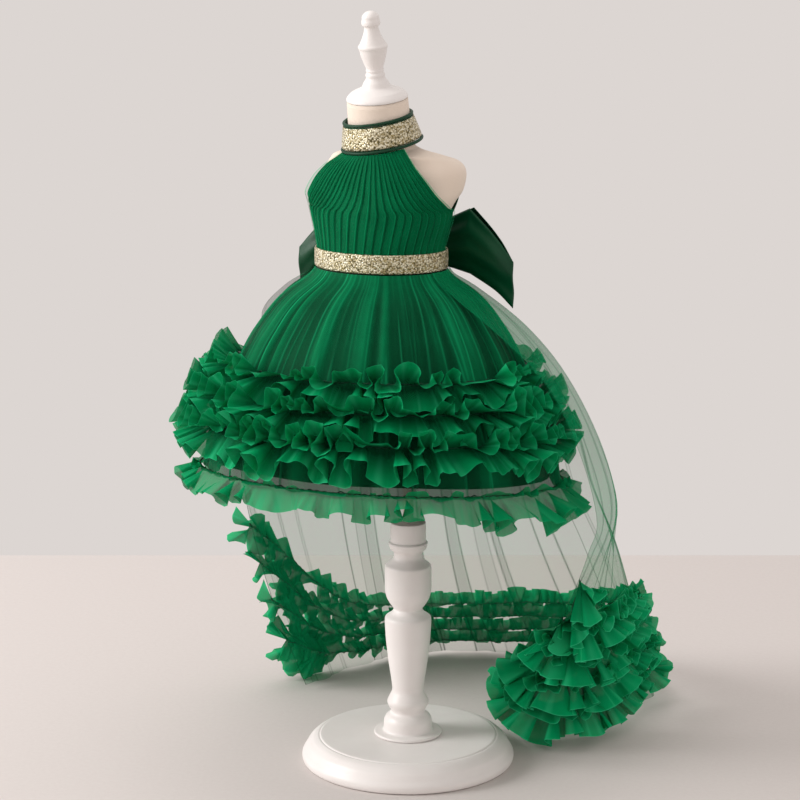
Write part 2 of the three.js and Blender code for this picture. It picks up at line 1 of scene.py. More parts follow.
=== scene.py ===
import bmesh
import bpy
import numpy as np
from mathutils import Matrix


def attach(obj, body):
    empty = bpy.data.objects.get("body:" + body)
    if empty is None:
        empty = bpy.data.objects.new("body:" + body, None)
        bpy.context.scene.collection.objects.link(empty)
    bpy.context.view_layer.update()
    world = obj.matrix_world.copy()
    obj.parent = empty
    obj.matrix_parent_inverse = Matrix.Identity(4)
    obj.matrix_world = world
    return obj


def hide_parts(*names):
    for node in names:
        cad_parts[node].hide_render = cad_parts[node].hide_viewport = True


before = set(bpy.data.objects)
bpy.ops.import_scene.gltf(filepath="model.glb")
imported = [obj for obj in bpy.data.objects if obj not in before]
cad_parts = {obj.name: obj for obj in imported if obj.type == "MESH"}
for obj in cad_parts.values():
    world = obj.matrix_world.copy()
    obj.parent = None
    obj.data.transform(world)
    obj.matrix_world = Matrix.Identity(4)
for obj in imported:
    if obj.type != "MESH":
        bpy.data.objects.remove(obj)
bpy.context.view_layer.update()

scene = bpy.context.scene

# The room: a camera a little above the dress and to its left side, a plain pale floor and backdrop,
# and soft light from large panels, the brightest at the viewer's left.
VIEW = {"distance": 3.4, "height": 1.266, "turn": 27, "tilt": 11.88, "lens": 106.9, "aside": 0.012}
turn = np.radians(VIEW["turn"])
camera = bpy.data.objects.new("camera", bpy.data.cameras.new("camera"))
camera.data.lens = VIEW["lens"]
camera.location = (
    VIEW["distance"] * np.sin(turn) - VIEW["aside"] * np.cos(turn),
    -VIEW["distance"] * np.cos(turn) - VIEW["aside"] * np.sin(turn),
    VIEW["height"],
)
camera.rotation_euler = (np.pi / 2 - np.radians(VIEW["tilt"]), 0, turn)
scene.collection.objects.link(camera)
scene.camera = camera
scene.view_settings.view_transform = "Standard"
scene.cycles.transparent_max_bounces = 40


def linear(hex_colour):
    """An sRGB hex colour as linear red, green, blue and alpha."""
    srgb = np.array([int(hex_colour[k : k + 2], 16) for k in (1, 3, 5)]) / 255
    values = np.where(srgb <= 0.04045, srgb / 12.92, ((srgb + 0.055) / 1.055) ** 2.4)
    return (*values, 1.0)


def add(tree, kind, inputs=None, **settings):
    """One shader node with its settings, and each input given a value or linked to a socket."""
    node = tree.nodes.new(kind)
    for key, value in settings.items():
        setattr(node, key, value)
    for key, value in (inputs or {}).items():
        if isinstance(value, bpy.types.NodeSocket):
            tree.links.new(value, node.inputs[key])
        else:
            node.inputs[key].default_value = value
    return node


def finish(name):
    """A new material, its node tree and its Principled shader."""
    material = bpy.data.materials.new(name)
    material.use_nodes = True
    return material, material.node_tree, material.node_tree.nodes["Principled BSDF"]


world = bpy.data.worlds.new("studio")
world.use_nodes = True
world.node_tree.nodes["Background"].inputs["Color"].default_value = linear("#F3ECE8")
world.node_tree.nodes["Background"].inputs["Strength"].default_value = 0.8
scene.world = world

LIT_POINT = (0, 0, 0.6)
for name, place, size, watts in (
    ("window_panel", (-4.8, -2.9, 3.0), 2.6, 275),
    ("fill_panel", (3.2, -1.6, 2.0), 2.6, 4),
    ("top_panel", (-0.5, -0.4, 3.4), 2.4, 14),
):
    lamp = bpy.data.lights.new(name, "AREA")
    lamp.size = size
    lamp.energy = watts
    lamp.color = linear("#FFFDFC")[:3]
    holder = bpy.data.objects.new(name, lamp)
    towards = np.array(LIT_POINT) - np.array(place)
    flat = np.hypot(towards[0], towards[1])
    holder.location = place
    holder.rotation_euler = (np.arctan2(flat, -towards[2]), 0, np.arctan2(-towards[0], towards[1]))
    scene.collection.objects.link(holder)

# The floor: painted board under the stand, which ends straight across the view behind the train.
FLOOR = {"far": 1.13, "near": -9.0, "half": 9.0, "z": -0.0005}
across, away = np.array([np.cos(turn), np.sin(turn)]), np.array([-np.sin(turn), np.cos(turn)])
surface = bpy.data.meshes.new("floor")
surface.from_pydata(
    [
        (*(side * FLOOR["half"] * across + FLOOR[end] * away), FLOOR["z"])
        for end, sides in (("near", (-1, 1)), ("far", (1, -1)))
        for side in sides
    ],
    [],
    [(0, 1, 2, 3)],
)
floor = bpy.data.objects.new("floor", surface)
scene.collection.objects.link(floor)
material, tree, skin = finish("matt_floor")
where = add(tree, "ShaderNodeTexCoord").outputs["Object"]
mottle = add(tree, "ShaderNodeTexNoise", {"Vector": where, "Scale": 140.0, "Detail": 3.0})
tone = add(
    tree,
    "ShaderNodeMix",
    {0: mottle.outputs["Fac"], 6: linear("#D3CCC9"), 7: linear("#DAD4D1")},
    data_type="RGBA",
)
tree.links.new(tone.outputs[2], skin.inputs["Base Color"])
skin.inputs["Roughness"].default_value = 0.9
surface.materials.append(material)


# The stand's turned foot and column: beech turned on a lathe and painted with white eggshell
# paint, which is smooth with a low shine and shows faint brush marks along the turning.
def smooth(keys, values, at):
    """Reads a table between its rows along a curve with no corners: each row's slope is that of
    the parabola through it and its neighbours, joined by cubic curves."""
    keys, values, at = np.asarray(keys, float), np.asarray(values, float), np.asarray(at, float)
    if keys[0] > keys[-1]:
        keys, values = keys[::-1], values[::-1]
    slopes = np.gradient(values, keys, axis=0)
    low = np.clip(np.searchsorted(keys, at, "right") - 1, 0, len(keys) - 2)
    step = keys[low + 1] - keys[low]
    t = np.clip((at - keys[low]) / step, 0, 1)
    extra = (None,) * (values.ndim - 1)
    t, step = t[(...,) + extra], step[(...,) + extra]
    return (
        (2 * t**3 - 3 * t**2 + 1) * values[low]
        + (t**3 - 2 * t**2 + t) * step * slopes[low]
        + (3 * t**2 - 2 * t**3) * values[low + 1]
        + (t**3 - t**2) * step * slopes[low + 1]
    )


def eased(profile, cut):
    """A profile with each corner rounded: a curve that leaves one side and joins the next at
    most cut millimetres from the corner, and never past the middle of a side."""
    profile = np.asarray(profile, float)
    points = [profile[0]]
    for before, corner, after in zip(profile, profile[1:], profile[2:]):
        ends = []
        for other in (before, after):
            side = other - corner
            length = np.linalg.norm(side)
            ends.append(corner + side * min(cut, 0.48 * length) / length)
        for t in np.linspace(0, 1, 6):
            points.append((1 - t) ** 2 * ends[0] + 2 * t * (1 - t) * corner + t**2 * ends[1])
    points.append(profile[-1])
    return np.array(points)


def shell(name, grid, fold_and_highlight=None, painted_shade=None):
    """A mesh over a grid of points in millimetres, rows by columns. Its UV map is the distance in
    metres along the longest row and down the middle column. From 0 to 1, the first mark gives
    doubled cloth and painted highlights, and the second gives painted shade in what lies deep
    between folds. Where the grid's ends meet they are joined."""
    rows, columns, _ = grid.shape
    points = grid.reshape(-1, 3) * 0.001
    corner = np.arange(rows * columns).reshape(rows, columns)
    faces = np.stack([corner[:-1, :-1], corner[1:, :-1], corner[1:, 1:], corner[:-1, 1:]], -1)
    faces = faces.reshape(-1, 4)
    lengths = np.linalg.norm(np.diff(grid, axis=1), axis=2)
    longest = lengths[lengths.sum(1).argmax()]
    down = np.linalg.norm(np.diff(grid[:, columns // 2], axis=0), axis=1)
    u = np.concatenate([[0], np.cumsum(longest)]) * 0.001
    v = np.concatenate([[0], np.cumsum(down)]) * 0.001
    uv = np.stack(np.broadcast_arrays(u[None, :], v[:, None]), -1).reshape(-1, 2)
    mesh = bpy.data.meshes.new(name)
    mesh.from_pydata(points.tolist(), [], faces.tolist())
    mesh.uv_layers.new(name="UVMap").data.foreach_set("uv", uv[faces.ravel()].ravel())
    for label, marks in (("fold_and_highlight", fold_and_highlight), ("painted_shade", painted_shade)):
        marks = np.zeros((rows, columns)) if marks is None else np.broadcast_to(marks, (rows, columns))
        mesh.attributes.new(label, "FLOAT", "POINT").data.foreach_set("value", marks.ravel())
    work = bmesh.new()
    work.from_mesh(mesh)
    bmesh.ops.remove_doubles(work, verts=work.verts, dist=1e-6)
    bmesh.ops.dissolve_degenerate(work, edges=work.edges, dist=1e-7)
    work.to_mesh(mesh)
    work.free()
    mesh.shade_smooth()
    return mesh


def piece(mesh, material, slot, *nodes):
    """One piece of the object: it gets its material, rides on the stand and stands for nodes."""
    thing = bpy.data.objects.new(mesh.name, mesh)
    scene.collection.objects.link(thing)
    mesh.materials.append(material)
    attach(thing, "root")
    if nodes:
        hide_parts(*nodes)
    return thing


def turned(name, profile, sides):
    """A lathe shape round the Z axis: each point of the profile is carried round a circle."""
    angle = np.linspace(0, 2 * np.pi, sides + 1)
    r, z = profile[:, :1], profile[:, 1:]
    grid = np.stack([r * np.cos(angle), r * np.sin(angle), z + 0 * angle], -1)
    return shell(name, grid[::-1])


paint, tree, skin = finish("eggshell_painted_beech")
where = add(tree, "ShaderNodeTexCoord").outputs["Object"]
brush = add(
    tree,
    "ShaderNodeTexNoise",
    {
        "Vector": add(
            tree, "ShaderNodeMapping", {"Vector": where, "Scale": (12.0, 12.0, 260.0)}
        ).outputs[0],
        "Scale": 1.0,
        "Detail": 4.0,
    },
)
cloudy = add(tree, "ShaderNodeTexNoise", {"Vector": where, "Scale": 14.0, "Detail": 3.0})
tone = add(
    tree,
    "ShaderNodeMix",
    {0: cloudy.outputs["Fac"], 6: linear("#E6E0DD"), 7: linear("#F4F1EF")},
    data_type="RGBA",
)
tree.links.new(tone.outputs[2], skin.inputs["Base Color"])
gloss = add(
    tree,
    "ShaderNodeMapRange",
    {"Value": brush.outputs["Fac"], "To Min": 0.34, "To Max": 0.52},
)
tree.links.new(gloss.outputs[0], skin.inputs["Roughness"])
relief = add(
    tree, "ShaderNodeBump", {"Height": brush.outputs["Fac"], "Strength": 0.25, "Distance": 0.0006}
)
tree.links.new(relief.outputs[0], skin.inputs["Normal"])
skin.inputs["Coat Weight"].default_value = 0.12
skin.inputs["Coat Roughness"].default_value = 0.4

BASE = [(0, 0), (156, 0), (159, 3), (159.5, 10), (157, 15), (154.6, 18), (150, 27), (142, 34.5),
        (135, 38), (133.2, 37.4), (131.6, 39.2), (129, 39.5), (0, 39.5)]
piece(turned("stand_foot", eased(BASE, 3), 144), paint, "white_wood", "base")

COLUMN_TOP = 367
COLUMN = [(0, 39.8), (51.2, 39.8), (51.2, 43), (49.6, 44.5), (36.5, 45), (36.4, 55.2), (36.1, 61.6),
          (32.4, 68.5), (25.6, 72.7), (25.6, 77.4), (30.1, 84.3), (31.6, 90), (27, 99.5), (23.1, 107.4),
          (25.2, 124.7), (29.5, 152.9), (33, 184.2), (34.6, 209.1), (34.9, 218.4), (33.6, 222.2),
          (25.3, 227.1), (21.2, 233), (21.2, 234.6), (26.8, 241.7), (32, 251), (34.7, 261.8),
          (34.8, 280.4), (34.7, 297.3), (34.1, 301.3), (28.2, 305.7), (22.3, 311.2), (20.8, 316.7),
          (21.4, 321), (27, 326.6), (27.6, 329), (28.5, 332.7), (29.6, 334.8), (28.4, 337),
          (26.4, 338), (26.4, 365.6), (25.4, COLUMN_TOP), (0, COLUMN_TOP)]
piece(turned("stand_column", eased(COLUMN, 4), 96), paint, "white_wood", "column")

# The pole: steel tube, powder coated in a warm off-white, which has a fine even orange peel.
powder, tree, skin = finish("powder_coated_steel")
where = add(tree, "ShaderNodeTexCoord").outputs["Object"]
peel = add(tree, "ShaderNodeTexNoise", {"Vector": where, "Scale": 700.0, "Detail": 1.0})
tone = add(
    tree,
    "ShaderNodeMix",
    {0: peel.outputs["Fac"], 6: linear("#DCCFC9"), 7: linear("#E9DFDA")},
    data_type="RGBA",
)
tree.links.new(tone.outputs[2], skin.inputs["Base Color"])
relief = add(
    tree, "ShaderNodeBump", {"Height": peel.outputs["Fac"], "Strength": 0.2, "Distance": 0.0003}
)
tree.links.new(relief.outputs[0], skin.inputs["Normal"])
skin.inputs["Roughness"].default_value = 0.4
SEAM = 0.3
FORM_BOTTOM = 585
POLE_ENDS = (COLUMN_TOP + SEAM, FORM_BOTTOM - SEAM)
POLE = [(0, POLE_ENDS[0]), (8, POLE_ENDS[0]), (8, POLE_ENDS[1]), (0, POLE_ENDS[1])]
piece(turned("stand_pole", eased(POLE, 0.4), 40), powder, "pole_metal", "pole")

# The torso: foam under a tight cream knit jersey. The knit is matt, with fine upright wales.
MIDDLE_X = -14
WAIST_Y = -58
WAIST_Z = 757
NECK = {"y": -56, "z": 920, "lean": np.radians(10), "height": 75}


def oval(angle, z, y, half_width, half_depth, lean=0.0, x=0.0):
    """A point of an oval section round the body: half_width times the sine of the angle across,
    half_depth times its cosine towards the front, and the section tipped forward by lean."""
    back = -half_depth * np.cos(angle)
    across = MIDDLE_X + x + half_width * np.sin(angle)
    return np.stack(
        np.broadcast_arrays(across, y + back * np.cos(lean), z + back * np.sin(lean)), -1
    )


jersey, tree, skin = finish("cotton_jersey")
uv = add(tree, "ShaderNodeTexCoord").outputs["UV"]
where = add(tree, "ShaderNodeTexCoord").outputs["Object"]
# Wales are 1.4 mm apart here, twice the real spacing, because finer ones don't show.
wales = add(
    tree,
    "ShaderNodeTexWave",
    {"Vector": uv, "Scale": 2 * np.pi / (20 * 0.0014), "Distortion": 1.2, "Detail": 1.0},
    bands_direction="X",
)
rows_of_knit = add(
    tree,
    "ShaderNodeTexWave",
    {"Vector": uv, "Scale": 2 * np.pi / (20 * 0.0018), "Distortion": 1.0, "Detail": 1.0},
    bands_direction="Y",
)
knit = add(
    tree, "ShaderNodeMath", {0: wales.outputs["Fac"], 1: rows_of_knit.outputs["Fac"]},
    operation="MULTIPLY",
)
cloudy = add(tree, "ShaderNodeTexNoise", {"Vector": where, "Scale": 11.0, "Detail": 4.0})
tone = add(
    tree,
    "ShaderNodeMix",
    {0: cloudy.outputs["Fac"], 6: linear("#E6D4C2"), 7: linear("#F3E6D9")},
    data_type="RGBA",
)
tree.links.new(tone.outputs[2], skin.inputs["Base Color"])
relief = add(
    tree, "ShaderNodeBump", {"Height": knit.outputs[0], "Strength": 0.35, "Distance": 0.0004}
)
tree.links.new(relief.outputs[0], skin.inputs["Normal"])
skin.inputs["Roughness"].default_value = 0.92
skin.inputs["Sheen Weight"].default_value = 0.15



def up_the_neck(height):
    """The z and y of the point of the neck's leaning axis at a height from its foot."""
    return NECK["z"] + height * np.cos(NECK["lean"]), NECK["y"] - height * np.sin(NECK["lean"])


# z, y, half width, half depth, lean, and how far the middle stands to the wearer's left
FORM = np.array([
    (FORM_BOTTOM, -24, 94, 78, 0, 0),
    (625, -34, 98, 82, 0, 0),
    (680, -48, 99, 83, 0, 0),
    (725, -56, 94, 78, 0, 0),
    (WAIST_Z, WAIST_Y, 91, 74, 0, 0),
    (796, -57, 92, 73, 0, 0),
    (828, -53, 97, 73, 0, 0),
    (849, -46, 105, 72, 0, 0),
    (866, -33, 110, 72, 0, 2),
    (890, -27, 108, 70, 0, 6),
    (905, -29, 99, 62, 0, 7),
    (914, -42, 83, 50, 0, 5),
    (921, -52, 54, 45, NECK["lean"] / 2, 2),
    (934, -58, 46, 44, NECK["lean"], 0),
    (*up_the_neck(NECK["height"]), 43, 43, NECK["lean"], 0),
])
angle = np.linspace(0, 2 * np.pi, 97)
body = smooth(np.arange(len(FORM)), FORM, np.linspace(0, len(FORM) - 1, 141))[:, :, None]
grid = oval(angle, *(body[:, k] for k in range(6)))


def capped(grid, edge):
    """Closes the first and last ring: each is drawn in to its middle in three steps, with the
    rim rounded by edge millimetres."""
    ends = []
    for ring in (grid[0], grid[-1]):
        middle = ring[:-1].mean(0)
        inward = (ring - middle) / np.linalg.norm(ring - middle, axis=1)[:, None]
        ends.append([middle + 0 * ring, middle + (ring - middle) * 0.5, ring - edge * inward])
    return np.concatenate([ends[0], grid, ends[1][::-1]])


piece(shell("torso", capped(grid, 1.0)[::-1]), jersey, "jersey", "form")


# The finial: a turned and painted cap and knob on the neck, in the finish of the stand.
def on_neck(grid, tip=0.0):
    """Points given about the neck's own axis, tipped forward with it and moved to its foot. What
    sits askew is first turned by tip about the collar's middle, the wearer's left side up."""
    x, y, z = np.moveaxis(grid, -1, 0)
    x, z = (
        x * np.cos(tip) - (z - COLLAR_MIDDLE) * np.sin(tip),
        x * np.sin(tip) + (z - COLLAR_MIDDLE) * np.cos(tip) + COLLAR_MIDDLE,
    )
    c, s = np.cos(NECK["lean"]), np.sin(NECK["lean"])
    return np.stack([x + MIDDLE_X, y * c - z * s + NECK["y"], y * s + z * c + NECK["z"]], -1)


def ringed(profile, sides, tip=0.0):
    """A profile of radius and height carried round the neck's axis."""
    angle = np.linspace(0, 2 * np.pi, sides + 1)
    r, z = profile[:, :1], profile[:, 1:]
    return on_neck(np.stack([r * np.sin(angle), -r * np.cos(angle), z + 0 * angle], -1), tip)


COLLAR_MIDDLE = 29.5
NECK_TOP = NECK["height"] + SEAM
FINIAL = [(0, 0), (43.5, 0), (43.5, 3), (41.5, 6), (37, 10), (35.5, 11), (27, 14.5), (21, 17),
          (19, 20.5), (17.6, 24), (14.6, 27.5), (13, 31), (13.8, 33), (13.8, 35.6), (12, 37.4),
          (12, 39), (13, 41), (11.8, 43), (16, 55), (18.6, 64), (19.6, 71), (20.9, 73), (20.9, 75.6),
          (18.6, 78), (14, 87), (11, 95), (9.7, 101), (10, 102.4), (13.2, 105), (13.4, 109),
          (12.2, 113), (12.2, 117), (8, 122), (3, 124), (0, 124)]
profile = eased(np.array(FINIAL) + (0, NECK_TOP), 3)
piece(shell("neck_finial", ringed(profile, 72)[::-1]), paint, "white_wood", "finial")

# The collar: a stand band of green duchesse satin, which has a dense smooth face with a soft
# sheen, fastened round the neck. Its edges are piped, and it sits a little askew.
satin, tree, skin = finish("duchesse_satin")


def weave_satin(tree, skin, deep, bright, shine):
    """Satin: warp floats 0.9 mm apart, drawn three times coarser than real so that they show,
    over slow changes of tone where the cloth has been handled."""
    uv = add(tree, "ShaderNodeTexCoord").outputs["UV"]
    where = add(tree, "ShaderNodeTexCoord").outputs["Object"]
    floats = add(
        tree,
        "ShaderNodeTexWave",
        {"Vector": uv, "Scale": 2 * np.pi / (20 * 0.0009), "Distortion": 2.0, "Detail": 2.0},
        bands_direction="DIAGONAL",
    )
    handled = add(tree, "ShaderNodeTexNoise", {"Vector": where, "Scale": 16.0, "Detail": 3.0})
    tone = add(
        tree,
        "ShaderNodeMix",
        {0: handled.outputs["Fac"], 6: linear(deep), 7: linear(bright)},
        data_type="RGBA",
    )
    tree.links.new(tone.outputs[2], skin.inputs["Base Color"])
    gloss = add(
        tree,
        "ShaderNodeMapRange",
        {"Value": floats.outputs["Fac"], "To Min": shine, "To Max": shine + 0.12},
    )
    tree.links.new(gloss.outputs[0], skin.inputs["Roughness"])
    relief = add(
        tree, "ShaderNodeBump", {"Height": floats.outputs["Fac"], "Strength": 0.2, "Distance": 0.0002}
    )
    tree.links.new(relief.outputs[0], skin.inputs["Normal"])
    skin.inputs["Specular IOR Level"].default_value = 0.28


weave_satin(tree, skin, "#00351F", "#045233", 0.36)

COLLAR = {"bottom": 11, "top": 48, "bottom_radius": 57, "top_radius": 48.5, "pipe": 2.2}
COLLAR_TIP = np.radians(5.5)


def collar_radius(up):
    """The collar's radius, which narrows evenly from its lower edge to its upper edge."""
    share = (up - COLLAR["bottom"]) / (COLLAR["top"] - COLLAR["bottom"])
    return COLLAR["bottom_radius"] + share * (COLLAR["top_radius"] - COLLAR["bottom_radius"])


def thicken(thing, thickness, outwards=-1):
    """Gives cloth its thickness, in millimetres, behind the face that shows."""
    wall = thing.modifiers.new("thickness", "SOLIDIFY")
    wall.thickness = thickness * 0.001
    wall.offset = outwards
    return thing


up = np.linspace(13.5, 45.5, 9)
collar_grid = ringed(np.stack([collar_radius(up), up], -1), 96, COLLAR_TIP)
collar_band = thicken(piece(shell("collar", collar_grid), satin, "satin", "collar_band"), 1.2, 1)

# The brocade on the collar and belt: a strip crusted with small gilt beads and sequins. Each
# bead tilts its own way, so the strip glitters: each bead's colour is set at random between pale
# and dark gold, a painted glint.
brocade, tree, skin = finish("beaded_gilt_brocade")
where = add(tree, "ShaderNodeTexCoord").outputs["Object"]
beads = add(tree, "ShaderNodeTexVoronoi", {"Vector": where, "Scale": 1 / 0.0024, "Randomness": 0.9})
own = add(tree, "ShaderNodeSeparateColor", {0: beads.outputs["Color"]})
# Painted glints: each bead's base colour is set at random between dark and pale gold.
gold_and_glints = add(
    tree,
    "ShaderNodeMix",
    {0: own.outputs[0], 6: linear("#A08F5C"), 7: linear("#F8F2DA")},
    data_type="RGBA",
)
gap = add(
    tree,
    "ShaderNodeMapRange",
    {"Value": beads.outputs["Distance"], "From Min": 0.5, "From Max": 0.75},
)
tone = add(
    tree,
    "ShaderNodeMix",
    {0: gap.outputs[0], 6: gold_and_glints.outputs[2], 7: linear("#5C532F")},
    data_type="RGBA",
)
tree.links.new(tone.outputs[2], skin.inputs["Base Color"])
gloss = add(tree, "ShaderNodeMapRange", {"Value": own.outputs[1], "To Min": 0.22, "To Max": 0.6})
tree.links.new(gloss.outputs[0], skin.inputs["Roughness"])
dome = add(tree, "ShaderNodeMath", {0: 1.0, 1: beads.outputs["Distance"]}, operation="SUBTRACT")
relief = add(
    tree, "ShaderNodeBump", {"Height": dome.outputs[0], "Strength": 0.9, "Distance": 0.0012}
)
tree.links.new(relief.outputs[0], skin.inputs["Normal"])
skin.inputs["Metallic"].default_value = 0.45

TRIM = {"bottom": 14.7, "top": 44.3, "width": 29.6}
up = np.linspace(TRIM["bottom"], TRIM["top"], 9)
crown = 1.1 + 0.4 * np.sin(np.pi * (up - TRIM["bottom"]) / TRIM["width"]) ** 0.5
mesh = shell("collar_brocade", ringed(np.stack([collar_radius(up) + crown, up], -1), 96, COLLAR_TIP))
collar_trim = thicken(piece(mesh, brocade, "brocade", "collar_trim"), 0.7, 1)

# The piping: bias-cut satin rolled round a cord and sewn into both edges of the collar.
piping, tree, skin = finish("bias_satin_piping")
weave_satin(tree, skin, "#04301C", "#08442A", 0.42)


def rolled(path, radius, sides=10):
    """A tube: a circle carried along a path that never runs upright."""
    ahead = np.gradient(path, axis=0)
    if np.allclose(path[0], path[-1]):
        ahead[0] = ahead[-1] = path[1] - path[-2]
    ahead /= np.linalg.norm(ahead, axis=1)[:, None]
    side = np.cross(ahead, (0, 0, 1))
    side /= np.linalg.norm(side, axis=1)[:, None]
    lift = np.cross(side, ahead)
    turn = np.linspace(0, 2 * np.pi, sides + 1)[:, None, None]
    return path + radius * (np.cos(turn) * side + np.sin(turn) * lift)


for end in ("top", "bottom"):
    ring = ringed(np.array([(collar_radius(COLLAR[end]), COLLAR[end])]), 96, COLLAR_TIP)[0]
    mesh = shell(f"piping_{end}", rolled(ring, COLLAR["pipe"]))
    piece(mesh, piping, "piping", f"collar_piping_{end}")

# The bodice front: a halter of soft tulle laid in fine knife pleats over a fitted base, from the
# collar to the waist. The pleats slant a little and no two are quite alike.
tulle_pleats, tree, skin = finish("pleated_tulle")


def weave_tulle(tree, skin, deep, bright, line, cover, doubled):
    """Nylon tulle: a fine net with soft light in it. Where the mesh marks the net as lying double,
    and where it marks a painted highlight, the net takes the colour line and hides more of what is
    behind it, from the share cover up to doubled; a line brighter than the net is a painted
    highlight. Painted shade darkens it where the mesh marks the hollows between folds. The net is
    drawn 2 mm wide, twice the real holes, because finer ones don't show."""
    uv = add(tree, "ShaderNodeTexCoord").outputs["UV"]
    where = add(tree, "ShaderNodeTexCoord").outputs["Object"]
    fold_and_highlight = add(tree, "ShaderNodeAttribute", attribute_name="fold_and_highlight").outputs["Fac"]
    threads = []
    for slope in (60, -60):
        turned_uv = add(
            tree, "ShaderNodeMapping", {"Vector": uv, "Rotation": (0, 0, np.radians(slope))}
        )
        threads.append(
            add(
                tree,
                "ShaderNodeTexWave",
                {"Vector": turned_uv.outputs[0], "Scale": 2 * np.pi / (20 * 0.002)},
                bands_direction="X",
            ).outputs["Fac"]
        )
    net = add(tree, "ShaderNodeMath", {0: threads[0], 1: threads[1]}, operation="MAXIMUM").outputs[0]
    cloudy = add(tree, "ShaderNodeTexNoise", {"Vector": where, "Scale": 24.0, "Detail": 4.0})
    tone = add(
        tree,
        "ShaderNodeMix",
        {0: cloudy.outputs["Fac"], 6: linear(deep), 7: linear(bright)},
        data_type="RGBA",
    )
    # The colour line over the marked net: a painted highlight where it is brighter than the net, a line
    # of doubled net where it is darker.
    lined_and_highlit = add(
        tree, "ShaderNodeMix", {0: fold_and_highlight, 6: tone.outputs[2], 7: linear(line)}, data_type="RGBA"
    )
    # Painted shade: the colour darkens towards #02150C where the mesh marks the hollows between folds.
    painted_shade_fac = add(tree, "ShaderNodeAttribute", attribute_name="painted_shade").outputs["Fac"]
    shade = add(
        tree,
        "ShaderNodeMix",
        {0: painted_shade_fac, 6: lined_and_highlit.outputs[2], 7: linear("#02150C")},
        data_type="RGBA",
    )
    tree.links.new(shade.outputs[2], skin.inputs["Base Color"])
    relief = add(tree, "ShaderNodeBump", {"Height": net, "Strength": 0.15, "Distance": 0.0003})
    tree.links.new(relief.outputs[0], skin.inputs["Normal"])
    skin.inputs["Roughness"].default_value = 0.65
    skin.inputs["Specular IOR Level"].default_value = 0.04
    if cover < 1:
        dense = add(
            tree, "ShaderNodeMapRange", {"Value": fold_and_highlight, "To Min": cover, "To Max": doubled}
        )
        holes = add(tree, "ShaderNodeMapRange", {"Value": net, "To Min": -0.06, "To Max": 0.06})
        alpha = add(
            tree,
            "ShaderNodeMath",
            {0: dense.outputs[0], 1: holes.outputs[0]},
            operation="ADD",
            use_clamp=True,
        )
        tree.links.new(alpha.outputs[0], skin.inputs["Alpha"])


weave_tulle(tree, skin, "#004D2F", "#006E43", "#129B64", 1, 1)

FRONT_TOP = {"radius": 57, "height": 8.5}
BODICE_HEM = 757.3
# z, y, half width, half depth, reach round each side in degrees, depth of the pleats, lean
FRONT = np.array([
    (*up_the_neck(FRONT_TOP["height"]), FRONT_TOP["radius"], FRONT_TOP["radius"], 59, 1.2, NECK["lean"]),
    (902.7, -58, 82, 58, 57, 2.6, 0),
    (885.2, -58, 99, 63, 59, 3.2, 0),
    (861.9, -58, 109, 68, 68, 3.4, 0),
    (846.4, -58, 107, 72, 84, 3.4, 0),
    (833.8, -57, 105, 75, 100, 3.2, 0),
    (788.1, -58, 94, 77, 100, 2.2, 0),
    (BODICE_HEM, WAIST_Y, 93.2, 76.2, 100, 1.4, 0),
])
PLEATS = 28
STEPS_A_PLEAT = 12
SLANT = 0.07
CREST = 0.84  # how far across its own width each pleat has its crest


def uneven(count, seed, least):
    """Random shares between least and 1, the same in each run."""
    return np.random.default_rng(seed).uniform(least, 1, count)


widths = uneven(PLEATS, 3, 0.72)
edges = np.concatenate([[0], np.cumsum(widths)]) / widths.sum()
place = np.linspace(0, PLEATS, PLEATS * STEPS_A_PLEAT + 1)
across = np.interp(place, np.arange(PLEATS + 1), edges)
within = place - np.floor(place)
knife = np.where(within < CREST, (within / CREST) ** 0.8, (1 - within) / (1 - CREST))
# Each pleat's crest gets a painted highlight in the brighter line colour, and its groove painted shade.
crest_highlight = np.exp(-(((within - CREST) / 0.05) ** 2))
crest_highlight *= np.append(np.repeat(uneven(PLEATS, 5, 0.2), STEPS_A_PLEAT), 0.5)
groove_shade = np.clip(1 - within / 0.3, 0, 1) ** 1.5 * 0.75
knife *= np.append(np.repeat(uneven(PLEATS, 4, 0.65), STEPS_A_PLEAT), 0.7)
level = np.linspace(0, 1, 61)
front = smooth(np.arange(len(FRONT)), FRONT, level * (len(FRONT) - 1))
reach = np.radians(front[:, 4:5])
slanted = across + SLANT * (0.5 - level[:, None]) * np.sin(np.pi * across)
pleat = front[:, 5:6] * knife * np.clip(level[:, None] * 6 + 0.4, 0, 1)
angle = reach * (2 * slanted - 1)
z, y, half_width, half_depth, lean = (front[:, k : k + 1] for k in (0, 1, 2, 3, 6))
grid = oval(angle, z, y, half_width + pleat, half_depth + pleat, lean)


def askew(grid, angle, level):
    """Lets the top of the front follow the askew collar down to the first level below it."""
    radius, height = FRONT_TOP["radius"], FRONT_TOP["height"] + 0 * angle[0]
    ring = np.stack([radius * np.sin(angle[0]), -radius * np.cos(angle[0]), height], -1)
    shift = on_neck(ring, COLLAR_TIP) - on_neck(ring)
    return grid + shift * (1 - np.clip(7 * level, 0, 1))[:, :, None]


grid = askew(grid, angle, level[:, None])
bodice_front = piece(shell("front_pleats", grid, crest_highlight, groove_shade), tulle_pleats, "tulle", "bodice_front")
thicken(bodice_front, 1.0)

